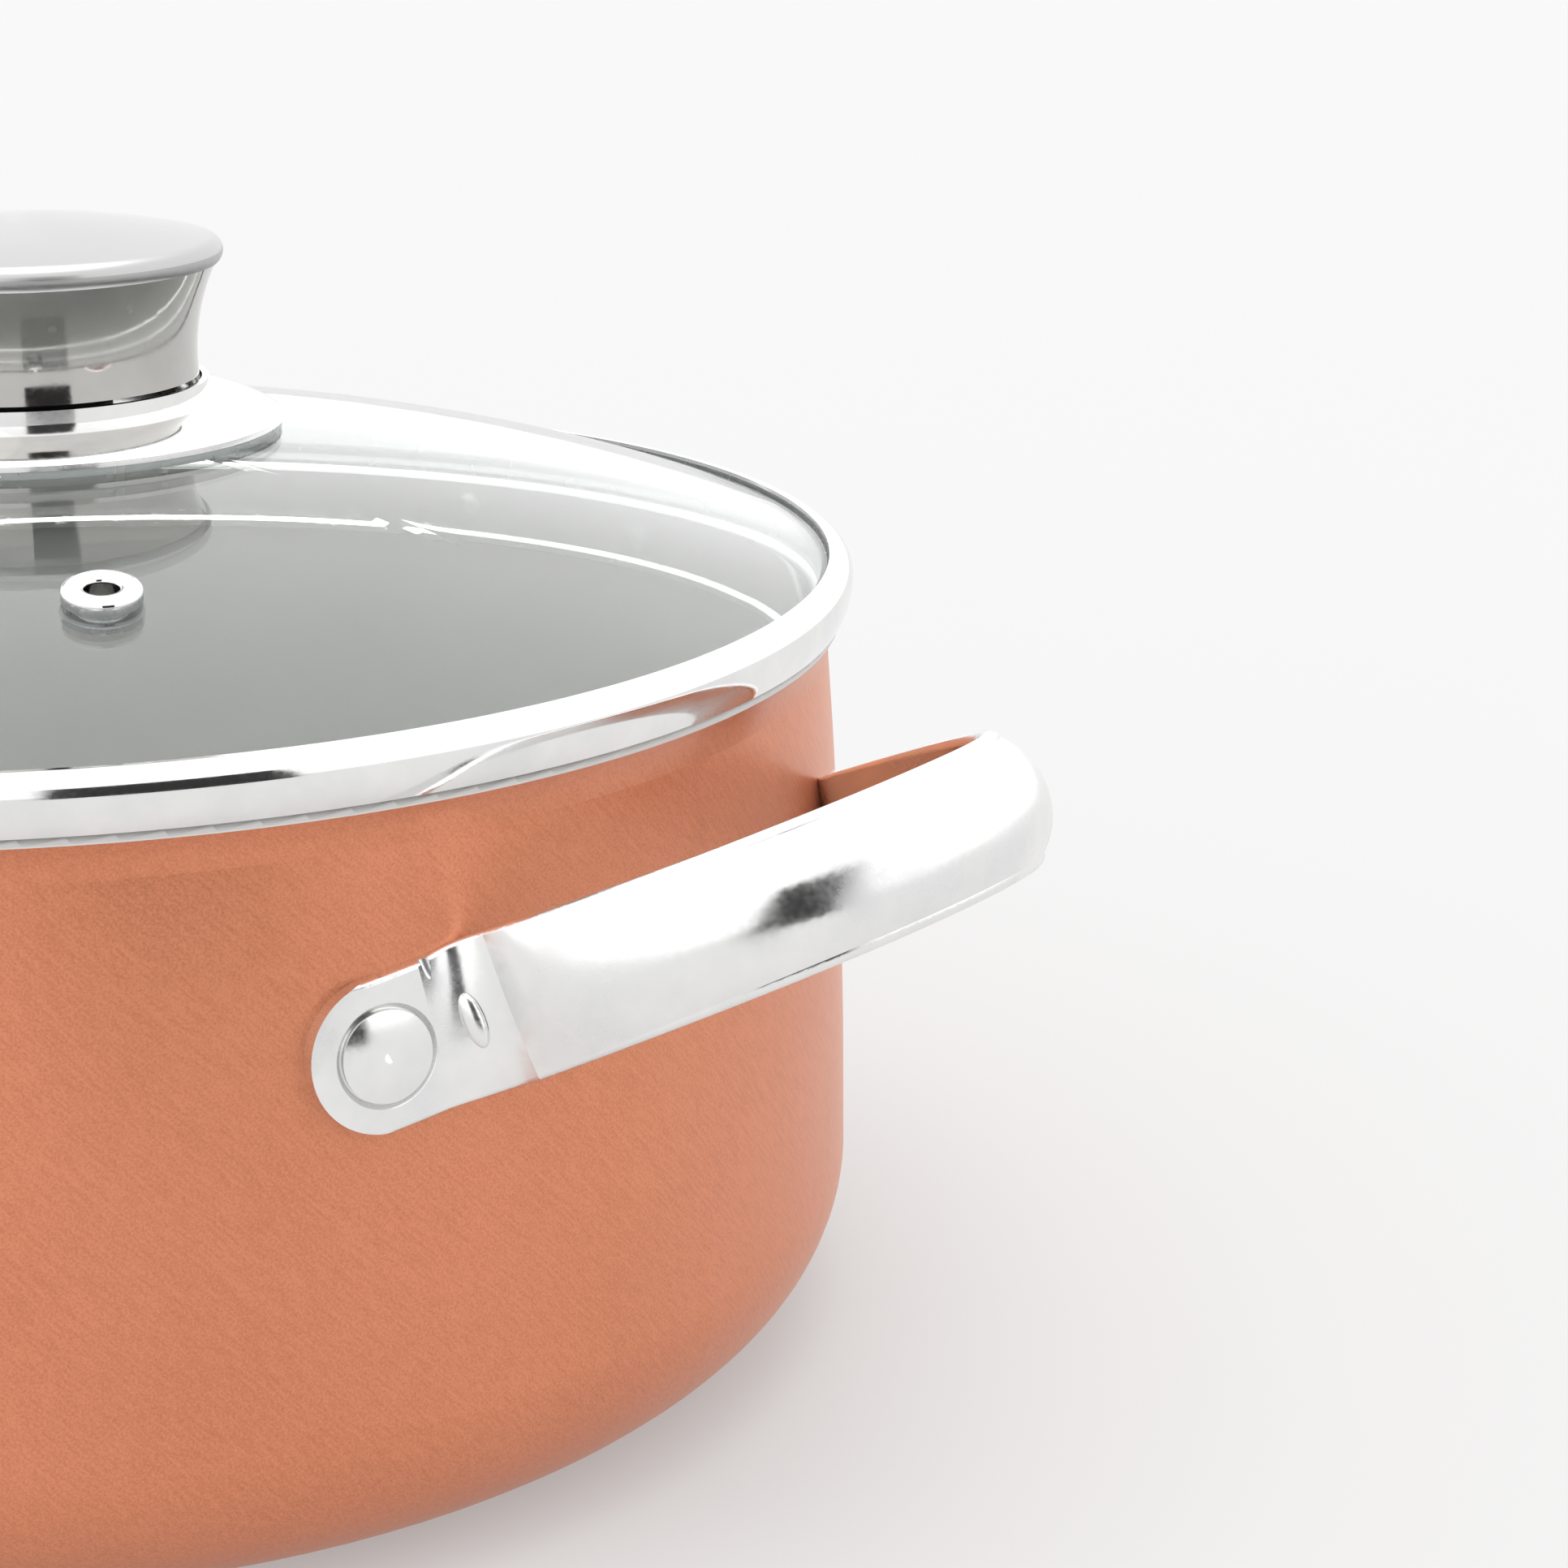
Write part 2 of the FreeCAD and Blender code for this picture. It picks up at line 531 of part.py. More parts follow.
def handle_shape(pot_outside):
    """One handle on the +X side: two riveted tabs joined by a crowned, rising grip."""
    def between(tab, grip, share):
        return value(tab) + (value(grip) - value(tab)) * share

    route = strap_route()
    frames = []
    for place, direction, across, share in route:
        upward = (across - direction * across.dot(direction)).normalize()
        frames.append((place, upward, upward.cross(direction), share))
    mirrored = [
        (Vector(p.x, -p.y, p.z), Vector(a.x, -a.y, a.z), Vector(o.x, -o.y, o.z), share)
        for p, a, o, share in frames[-2::-1]
    ]
    last = len(frames) + len(mirrored) - 1
    sections = []
    for index, (place, across, outward, share) in enumerate(frames + mirrored):
        steps_in = min(index, last - index)
        sink = value("tab_thick") / 4 if steps_in <= TAB_STEPS else 0.0
        sections.append(strap_section(
            place, across, outward,
            between("tab_radius", "grip_half", share), between("tab_thick", "grip_thick", share),
            between("tab_crown", "grip_crown", share), between("edge_round", "grip_round", share), sink))
    corners = (0, TAB_STEPS, TAB_STEPS + BEND_STEPS)
    ends = corners + tuple(last - corner for corner in corners[::-1])
    stretches = [Part.makeLoft(sections[a:b + 1], True, False) for a, b in zip(ends, ends[1:])]

    middle, upward, outward, _ = frames[TAB_STEPS + BEND_STEPS // 2]
    surface = middle + outward * value("tab_thick / 2 + tab_crown")
    turn = Rotation(upward.cross(outward) * -1, upward, outward, "ZXY")
    darts = both_ends(swelling("dart", surface - outward * value("tab_crown"), turn))
    fold = frames[TAB_STEPS + 1]
    top = fold[0] + fold[1] * value("tab_radius") + fold[2] * value("tab_thick / 2")
    notches = both_ends(swelling("notch", top, turn))
    handle = stretches[0].fuse(stretches[1:] + darts).cut([pot_outside.Shape] + notches)

    away = value("tab_thick") * 8
    for azimuth in (rivet_azimuth(), -rivet_azimuth()):
        at_rivet = rivet_place(azimuth, -away / 2)
        width = value("tab_radius") * 4
        beyond = Part.makeBox(width, width, away, Vector(-width / 2, 0, 0))
        if azimuth < 0:
            beyond = Part.makeBox(width, width, away, Vector(-width / 2, -width, 0))
        beyond = beyond.cut(Part.makeCylinder(value("tab_radius"), away))
        upright = tab_turn(azimuth)
        beyond.Placement = Placement(at_rivet.Base, upright)
        relief_foot = value("rivet_head + relief_gap")
        spread = (value("relief_radius") - relief_foot) / value("relief_depth") * away
        relief = Part.makeCone(relief_foot, relief_foot + spread, away)
        relief.Placement = rivet_place(azimuth, value("tab_thick - relief_depth"))
        hole = Part.makeCylinder(value("rivet_shank + rivet_fit"), away)
        hole.Placement = at_rivet
        handle = handle.cut(beyond).cut(relief).cut(hole)
    return handle.removeSplitter()


def tab_turn(azimuth):
    """Rotation whose Z is the wall's normal at a rivet and whose Y runs away from the handle."""
    height = value(RIVET_HEIGHT)
    normal = wall_normal(height, azimuth)
    around = Vector(-math.sin(azimuth), math.cos(azimuth), 0)
    return Rotation(Vector(), around, normal, "ZYX")


def make_handles():
    """The two equal handles; the left one is the right one turned half a turn."""
    pot_outside = turned("pot_outside", [
        ("0", "disc_stand"),
        (BASE_RADIUS, "disc_stand", "corner_radius", LEFT),
        ("belly_radius", CORNER_TOP, "wall_bow", LEFT),
        (WALL_TOP, FLARE_FOOT),
        ("0", FLARE_FOOT),
    ])
    DOC.recompute()
    shape = handle_shape(pot_outside)
    handles = []
    for name, angle in (("handle_right", 0), ("handle_left", 180)):
        handle = DOC.addObject("Part::Feature", name)
        handle.Shape = shape
        handle.Placement = Placement(Vector(), Rotation(Vector(0, 0, 1), angle))
        handles.append(handle)
    return handles


def vent_place():
    """Place on the glass's outer face at the vent, +Z along the glass's normal."""
    bearing = math.radians(value("vent_angle"))
    lean = math.asin(value("vent_distance / glass_curve"))
    normal = Vector(math.sin(lean) * math.cos(bearing), math.sin(lean) * math.sin(bearing), math.cos(lean))
    return Placement(Vector(0, 0, value(GLASS_CENTRE)) + normal * value("glass_curve"),
                     Rotation(Vector(0, 0, 1), normal))


def make_lid():
    """The glass, its silicone seal and the rolled steel band with its skirt."""
    edge_top = glass_top(f"{GLASS_EDGE} - glass_chamfer")
    edge_under = glass_under(f"{GLASS_EDGE} - glass_chamfer")
    band = turned("lid_band", [
        (SKIRT, SKIRT_FOOT),
        (SKIRT, f"{SEAT} - skirt_bend", "skirt_bend", RIGHT),
        (f"{SKIRT} + skirt_bend", SEAT),
        (BAND_FOOT, SEAT, FOOT_CURVE, LEFT),
        (BAND_RADIUS, BAND_BELT, "band_round", LEFT),
        (f"{BAND_RADIUS} - band_round", BAND_TOP),
        (BAND_MOUTH, BAND_TOP),
        (BAND_MOUTH, f"{BAND_TOP} - band_sheet"),
        (f"{BAND_RADIUS} - band_round", f"{BAND_TOP} - band_sheet", "band_round - band_sheet", RIGHT),
        (f"{BAND_RADIUS} - band_sheet", BAND_BELT, FOOT_INNER_CURVE, RIGHT),
        (f"{BAND_FOOT} - band_sheet", f"{SEAT} + band_sheet"),
        (f"{SKIRT} + skirt_bend", f"{SEAT} + band_sheet", "skirt_bend + band_sheet", LEFT),
        (f"{SKIRT} - band_sheet", f"{SEAT} - skirt_bend"),
        (f"{SKIRT} - band_sheet", f"{SKIRT_FOOT} + hem_height"),
        (f"{SKIRT} - hem_thick", f"{SKIRT_FOOT} + hem_height - hem_thick / 2"),
        (f"{SKIRT} - hem_thick", f"{SKIRT_FOOT} + hem_thick / 3"),
        (f"{SKIRT} - hem_thick / 2", SKIRT_FOOT),
    ])
    glass_blank = turned("lid_glass_blank", [
        ("screw_hole", glass_top("screw_hole"), "glass_curve", RIGHT),
        (f"{GLASS_EDGE} - glass_chamfer", edge_top),
        (GLASS_EDGE, f"{edge_top} - glass_chamfer"),
        (GLASS_EDGE, f"{edge_under} + glass_chamfer"),
        (f"{GLASS_EDGE} - glass_chamfer", edge_under, UNDER_CURVE, LEFT),
        ("screw_hole", glass_under("screw_hole")),
    ])
    through = vent_place()
    through.Base = through.Base - through.Rotation.multVec(Vector(0, 0, value("2 * glass_thick")))
    glass = cut("lid_glass", glass_blank, cylinder("vent_hole_tool", "vent_hole", "4 * glass_thick", through))
    seal = turned("glass_seal", [
        (BAND_MOUTH, GLASS_RIM),
        (BAND_MOUTH, f"{BAND_TOP} - band_sheet"),
        (f"{BAND_RADIUS} - band_round", f"{BAND_TOP} - band_sheet", "band_round - band_sheet", RIGHT),
        (f"{BAND_RADIUS} - band_sheet", BAND_BELT, FOOT_INNER_CURVE, RIGHT),
        (f"{BAND_FOOT} - band_sheet", f"{SEAT} + band_sheet"),
        (SEAL_INNER, f"{SEAT} + band_sheet"),
        (SEAL_INNER, glass_under(SEAL_INNER), UNDER_CURVE, RIGHT),
        (f"{GLASS_EDGE} - glass_chamfer", edge_under),
        (GLASS_EDGE, f"{edge_under} + glass_chamfer"),
        (GLASS_EDGE, f"{edge_top} - glass_chamfer"),
        (f"{GLASS_EDGE} - glass_chamfer", edge_top, "glass_curve", LEFT),
    ])
    return [band, glass, seal]


def make_vent():
    """The eyelet with a gasket on each side of the glass and a washer below."""
    def outer(radius):
        return f"(sqrt(glass_curve^2 - ({radius})^2) - glass_curve)"

    def inner(radius):
        return f"(sqrt({UNDER_CURVE}^2 - ({radius})^2) - glass_curve)"

    flange_top = "(vent_gasket + vent_sheet)"
    gasket_foot = "(0 - glass_thick - vent_lower_gasket)"
    washer_foot = f"({gasket_foot} - vent_washer_thick)"
    pieces = [
        turned("vent_eyelet", [
            ("vent_barrel", "vent_gasket"),
            ("vent_flange", "vent_gasket"),
            ("vent_flange", f"{flange_top} - vent_round", "vent_round", LEFT),
            ("vent_flange - vent_round", flange_top),
            ("vent_bore + vent_round", flange_top, "vent_round", LEFT),
            ("vent_bore", f"{flange_top} - vent_round"),
            ("vent_bore", f"{washer_foot} - vent_roll"),
            ("vent_flange - vent_round", f"{washer_foot} - vent_roll"),
            ("vent_flange - vent_round", washer_foot),
            ("vent_barrel", washer_foot),
        ]),
        turned("vent_gasket_top", [
            ("vent_barrel", outer("vent_barrel"), "glass_curve", RIGHT),
            ("vent_flange", outer("vent_flange")),
            ("vent_flange", "vent_gasket"),
            ("vent_barrel", "vent_gasket"),
        ]),
        turned("vent_gasket_bottom", [
            ("vent_barrel", gasket_foot),
            ("vent_washer", gasket_foot),
            ("vent_washer", inner("vent_washer"), UNDER_CURVE, LEFT),
            ("vent_barrel", inner("vent_barrel")),
        ]),
        turned("vent_washer", [
            ("vent_barrel", washer_foot),
            ("vent_washer", washer_foot),
            ("vent_washer", gasket_foot),
            ("vent_barrel", gasket_foot),
        ]),
    ]
    for piece in pieces:
        piece.Placement = vent_place()
    return pieces


def make_knob():
    """The skirt, the hollow polished knob with its cap and core, and their gaskets."""
    gasket_out = "(skirt_radius - skirt_sheet / 4)"
    gasket_in = f"({gasket_out} - edge_gasket_width)"
    skirt = turned("knob_skirt", [
        ("screw_clear", PLATE),
        ("neck_radius - skirt_sheet", PLATE),
        ("neck_radius", f"{NECK_FOOT} - skirt_sheet", DOME_CURVE, RIGHT),
        ("skirt_radius - skirt_sheet", SKIRT_EDGE),
        ("skirt_radius", SKIRT_EDGE),
        ("skirt_radius", f"{SKIRT_EDGE} + skirt_edge", DOME_CURVE, LEFT),
        ("neck_radius", NECK_FOOT),
        ("neck_radius", NECK_TOP),
        ("neck_radius - skirt_sheet", NECK_TOP),
        ("neck_radius - skirt_sheet", PLATE_TOP),
        ("screw_clear", PLATE_TOP),
    ])
    edge_ring = turned("skirt_edge_gasket", [
        (gasket_in, glass_top(gasket_in), "glass_curve", RIGHT),
        (gasket_out, glass_top(gasket_out)),
        (gasket_out, SKIRT_EDGE),
        (gasket_in, SKIRT_EDGE),
    ])
    centre_ring = turned("knob_centre_gasket", [
        ("screw_hole", glass_top("screw_hole"), "glass_curve", RIGHT),
        ("centre_gasket_radius", glass_top("centre_gasket_radius")),
        ("centre_gasket_radius", PLATE),
        ("screw_hole", PLATE),
    ])
    side = turned("knob_body", [
        (knob_side(KNOB_FOOT), KNOB_FOOT, "knob_curve", RIGHT),
        (knob_side(KNOB_TOP), KNOB_TOP),
        (f"{knob_side(KNOB_TOP)} - knob_sheet", KNOB_TOP, "knob_curve", LEFT),
        (f"{knob_side(KNOB_FOOT)} - knob_sheet", KNOB_FOOT),
    ])
    cap_inner = f"({CAP_DOME} - cap_sheet / 2)"
    cap = turned("knob_cap", [
        (f"{knob_side(KNOB_TOP)} - knob_sheet", KNOB_TOP),
        ("cap_lip", KNOB_TOP, "cap_round", LEFT),
        ("cap_radius", CAP_BELT, "cap_round", LEFT),
        (CAP_DOME, CAP_SHOULDER, CAP_CURVE, LEFT),
        ("0", CAP_TOP),
        ("0", f"{CAP_TOP} - cap_sheet", f"(({cap_inner}^2 + cap_rise^2) / (2 * cap_rise))", RIGHT),
        (cap_inner, f"{CAP_SHOULDER} - cap_sheet"),
        ("cap_radius - cap_sheet", CAP_BELT),
    ])
    core = turned("knob_core", [
        ("insert_radius", PLATE_TOP),
        ("boss_radius", PLATE_TOP),
        ("boss_radius", CORE_FOOT),
        (f"{knob_side(CORE_FOOT)} - knob_sheet", CORE_FOOT, "knob_curve", RIGHT),
        (f"{knob_side(KNOB_TOP)} - knob_sheet", KNOB_TOP),
        ("0", KNOB_TOP),
        ("0", INSERT_TOP),
        ("insert_radius", INSERT_TOP),
    ])
    insert = turned("knob_insert", [
        ("screw_radius + screw_fit", PLATE_TOP),
        ("insert_radius", PLATE_TOP),
        ("insert_radius", INSERT_TOP),
        ("screw_radius + screw_fit", INSERT_TOP),
    ])
    return [skirt, edge_ring, centre_ring, side, cap, core, insert]


def make_screw():
    """The screw that holds the knob, with its washer and gasket under the glass."""
    screw_blank = turned("knob_screw_blank", [
        ("0", HEAD_FOOT, SCREW_CURVE, LEFT),
        ("screw_head", f"{WASHER_FOOT} - screw_head_edge"),
        ("screw_head", WASHER_FOOT),
        ("screw_radius", WASHER_FOOT),
        ("screw_radius", f"{INSERT_TOP} - screw_end"),
        ("0", f"{INSERT_TOP} - screw_end"),
    ])
    bars = []
    for name, long_side, short_side in (("Length", "x", "y"), ("Width", "y", "x")):
        bar = DOC.addObject("Part::Box", "recess_" + long_side)
        other = "Width" if name == "Length" else "Length"
        bar.setExpression(name, bind("recess_length"))
        bar.setExpression(other, bind("recess_width"))
        bar.setExpression("Height", bind("2 * recess_depth"))
        bar.setExpression(f"Placement.Base.{long_side}", bind("-recess_length / 2"))
        bar.setExpression(f"Placement.Base.{short_side}", bind("-recess_width / 2"))
        bar.setExpression("Placement.Base.z", bind(f"{HEAD_FOOT} - recess_depth"))
        bars.append(bar)
    screw = cut("knob_screw", screw_blank, together("cross_recess", bars))
    washer = turned("screw_washer", [
        ("screw_clear", WASHER_FOOT),
        ("washer_radius", WASHER_FOOT),
        ("washer_radius", GASKET_FOOT),
        ("screw_clear", GASKET_FOOT),
    ])
    gasket = turned("screw_gasket", [
        ("screw_hole", GASKET_FOOT),
        ("washer_radius", GASKET_FOOT),
        ("washer_radius", glass_under("washer_radius"), UNDER_CURVE, LEFT),
        ("screw_hole", glass_under("screw_hole")),
    ])
    return [screw, washer, gasket]


def main():
    """Build every piece, check the document and write one STEP file per piece."""
    pieces = make_pot() + make_rivets() + make_handles()
    pieces += make_lid() + make_vent() + make_knob() + make_screw()
    DOC.recompute()
    for item in DOC.Objects:
        if {"Invalid", "Error"} & set(item.State):
            raise RuntimeError(f"{item.Label} did not compute: {item.State}")
    for piece in pieces:
        shape = piece.Shape
        if shape.isNull() or not shape.isValid() or len(shape.Solids) != 1 or shape.Volume <= 0:
            raise RuntimeError(f"{piece.Label} is not one valid solid")
    os.makedirs("parts", exist_ok=True)
    for piece in pieces:
        piece.Shape.exportStep(f"parts/{piece.Label}.step")
        print(f"{piece.Label}: {piece.Shape.Volume / 1000:.2f} cm3")


main()
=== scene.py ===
import math

import bpy
from bpy.props import FloatProperty, FloatVectorProperty, PointerProperty
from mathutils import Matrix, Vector


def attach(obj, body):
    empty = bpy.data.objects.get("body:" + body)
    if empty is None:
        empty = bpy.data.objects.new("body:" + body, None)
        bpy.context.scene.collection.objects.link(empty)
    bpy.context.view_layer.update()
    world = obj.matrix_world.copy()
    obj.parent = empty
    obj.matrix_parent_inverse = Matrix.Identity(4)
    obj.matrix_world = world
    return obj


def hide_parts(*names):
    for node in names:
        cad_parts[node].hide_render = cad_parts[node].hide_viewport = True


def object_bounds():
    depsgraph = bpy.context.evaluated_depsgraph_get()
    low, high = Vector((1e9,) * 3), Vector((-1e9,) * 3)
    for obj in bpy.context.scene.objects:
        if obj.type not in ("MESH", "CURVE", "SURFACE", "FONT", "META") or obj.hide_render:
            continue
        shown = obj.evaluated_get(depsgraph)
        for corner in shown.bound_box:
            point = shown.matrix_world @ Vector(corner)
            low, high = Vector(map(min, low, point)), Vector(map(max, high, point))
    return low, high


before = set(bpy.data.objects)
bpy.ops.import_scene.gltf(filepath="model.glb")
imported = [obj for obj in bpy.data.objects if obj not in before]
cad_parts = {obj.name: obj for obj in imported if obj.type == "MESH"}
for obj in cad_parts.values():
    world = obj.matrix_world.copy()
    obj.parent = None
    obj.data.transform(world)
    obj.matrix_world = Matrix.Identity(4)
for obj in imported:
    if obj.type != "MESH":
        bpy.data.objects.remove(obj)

bl_info = {
    "name": "Casserole With Glass Lid",
    "version": (1, 0, 0),
    "blender": (4, 5, 0),
    "location": "View3D > Sidebar > Casserole",
    "description": "Finishes a two-handled casserole with a glass lid around its CAD frame",
    "category": "Object",
}

LOW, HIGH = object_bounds()
MM = 0.001
SHARP_DEGREES = 32


# ---------------------------------------------------------------- settings

def colour(name, description, default):
    """A colour property with its own name, description and default."""
    return FloatVectorProperty(name=name, description=description, subtype="COLOR",
                               size=3, min=0.0, max=1.0, default=default)


def length(name, description, default):
    """A length property in metres."""
    return FloatProperty(name=name, description=description, subtype="DISTANCE", unit="LENGTH",
                         min=0.0, default=default)


def share(name, description, default):
    """A factor between 0 and 1."""
    return FloatProperty(name=name, description=description, subtype="FACTOR",
                         min=0.0, max=1.0, default=default)


def strength(name, description, default):
    """How strongly something shines."""
    return FloatProperty(name=name, description=description, min=0.0, default=default)


def spread_angle(name, description, degrees):
    """An angle property, given in degrees."""
    return FloatProperty(name=name, description=description, subtype="ANGLE", unit="ROTATION",
                         min=0.0, default=math.radians(degrees))


def place(name, description, default):
    """A place in the frame, in metres from the middle of the pot's underside."""
    return FloatVectorProperty(name=name, description=description, subtype="XYZ", unit="LENGTH",
                               size=3, default=default)


def direction(name, description, default):
    """A direction in the frame."""
    return FloatVectorProperty(name=name, description=description, subtype="XYZ",
                               size=3, default=default)


class CasseroleColours(bpy.types.PropertyGroup):
    """Colours of the casserole's finishes."""
    copper: colour("Copper", "Metallic coat outside the pot", (0.70, 0.262, 0.138))
    copper_shade: colour("Copper Shade", "Darker flakes of the coat", (0.56, 0.192, 0.094))
    lining: colour("Lining", "Non-stick lining inside the pot", (0.56, 0.555, 0.54))
    lining_fleck: colour("Lining Fleck", "Pale flecks in the lining", (0.62, 0.62, 0.61))
    steel: colour("Steel", "Polished stainless steel", (0.86, 0.855, 0.845))
    satin: colour("Satin Steel", "Satin stainless steel", (0.70, 0.71, 0.72))
    cap: colour("Cap", "Satin cap of the knob", (0.50, 0.505, 0.50))
    knob: colour("Knob Tint", "Tint of the knob's polished side", (0.62, 0.61, 0.59))
    glass: colour("Glass", "Tempered glass of the lid", (0.965, 0.988, 0.978))
    silicone: colour("Silicone", "Clear gaskets and seal", (0.80, 0.83, 0.82))
    core: colour("Core", "Plastic core of the knob", (0.012, 0.012, 0.013))
    brass: colour("Brass", "Threaded insert", (0.72, 0.50, 0.20))
    floor: colour("Floor", "Studio floor", (0.325, 0.325, 0.325))
    sky: colour("Sky", "Studio light from all round", (1.0, 1.0, 1.0))
    cloth: colour("Cloth", "Dark cloth beside the camera", (0.010, 0.009, 0.010))
    cloth_thread: colour("Cloth Thread", "Paler threads of the dark cloth", (0.020, 0.018, 0.018))


class CasseroleSizes(bpy.types.PropertyGroup):
    """Sizes and roughness of the casserole's surface detail."""
    flake: length("Flake Size", "Grain of the metallic coat", 0.00035)
    streak: length("Streak Length", "Length of the coat's faint streaks", 0.004)
    turning: length("Turning Pitch", "Distance between turning marks on steel", 0.00018)
    smudge: length("Smudge Size", "Size of faint smudges on polished steel", 0.012)
    polish: share("Polish Roughness", "Roughness of polished steel", 0.06)
    coat_roughness: share("Coat Roughness", "Roughness of the metallic coat", 0.42)


class CasseroleBand(bpy.types.PropertyGroup):
    """Outline of the lid's rolled band: radii from the pot's axis, heights over its underside."""
    skirt_radius: length("Skirt Radius", "Outside of the skirt that goes into the pot", 0.11889)
    skirt_foot: length("Skirt Foot", "Height of the skirt's lower edge", 0.1)
    bend: length("Bend", "Rounding between the skirt and the seat", 0.0012)
    hem_width: length("Hem Width", "Thickness of the skirt's folded edge", 0.0015)
    hem_height: length("Hem Height", "Height of the skirt's folded edge", 0.0023)
    hem_edge: length("Hem Edge", "Bevel under the skirt's folded edge", 0.0005)
    seat: length("Seat", "Height of the face that lies on the pot's lip", 0.1128)
    seat_radius: length("Seat Radius", "Outer edge of the face that lies on the lip", 0.12459)
    outer_radius: length("Outer Radius", "Widest part of the band", 0.125985)
    mouth_radius: length("Mouth Radius", "Inner edge of the band's top", 0.12229)
    belt: length("Belt", "Height of the band's widest part", 0.1179)
    top: length("Top", "Height of the band's top", 0.120995)
    sheet: length("Sheet", "Thickness of the band's steel", 0.0006)
    rounding: length("Rounding", "Rounding from the outside to the top", 0.0031)
    foot_curve: length("Foot Curve", "Curve from the seat up to the widest part", 0.00999)


class CasseroleStudio(bpy.types.PropertyGroup):
    """The studio's floor, light, dark cloth and camera."""
    floor_reach: length("Floor Reach", "Half the width of the studio floor", 6.0)
    floor_gap: length("Floor Gap", "Distance from the pot down to the floor", 0.0002)
    floor_glow: strength("Floor Glow", "Light that the floor gives off", 0.34)
    sky_strength: strength("Sky Strength", "Strength of the light from all round", 1.40)
    top_direction: direction("Top Direction", "Where the top light is", (-0.05, 0.05, 1.0))
    top_spread: spread_angle("Top Spread", "Width of the top light", 60.0)
    top_strength: strength("Top Strength", "Strength of the top light", 1.2)
    front_direction: direction("Front Direction", "Where the front light is", (-0.20, -0.75, 0.63))
    front_spread: spread_angle("Front Spread", "Width of the front light", 80.0)
    front_strength: strength("Front Strength", "Strength of the front light", 0.2)
    cloth_place: place("Cloth Place", "Middle of the dark cloth's foot", (0.682, -0.417, 0.0))
    cloth_width: length("Cloth Width", "Width of the dark cloth", 0.42)
    cloth_height: length("Cloth Height", "Height of the dark cloth", 0.60)
    eye: place("Eye", "Where the camera stands", (0.3942, -0.3998, 0.2460))
    sight: direction("Sight", "Where the camera looks", (-0.519, 0.807, -0.2835))
    lens: FloatProperty(name="Lens", description="Focal length of the camera's lens",
                        subtype="DISTANCE_CAMERA", unit="CAMERA", min=1.0, default=83.85)


# ---------------------------------------------------------------- materials

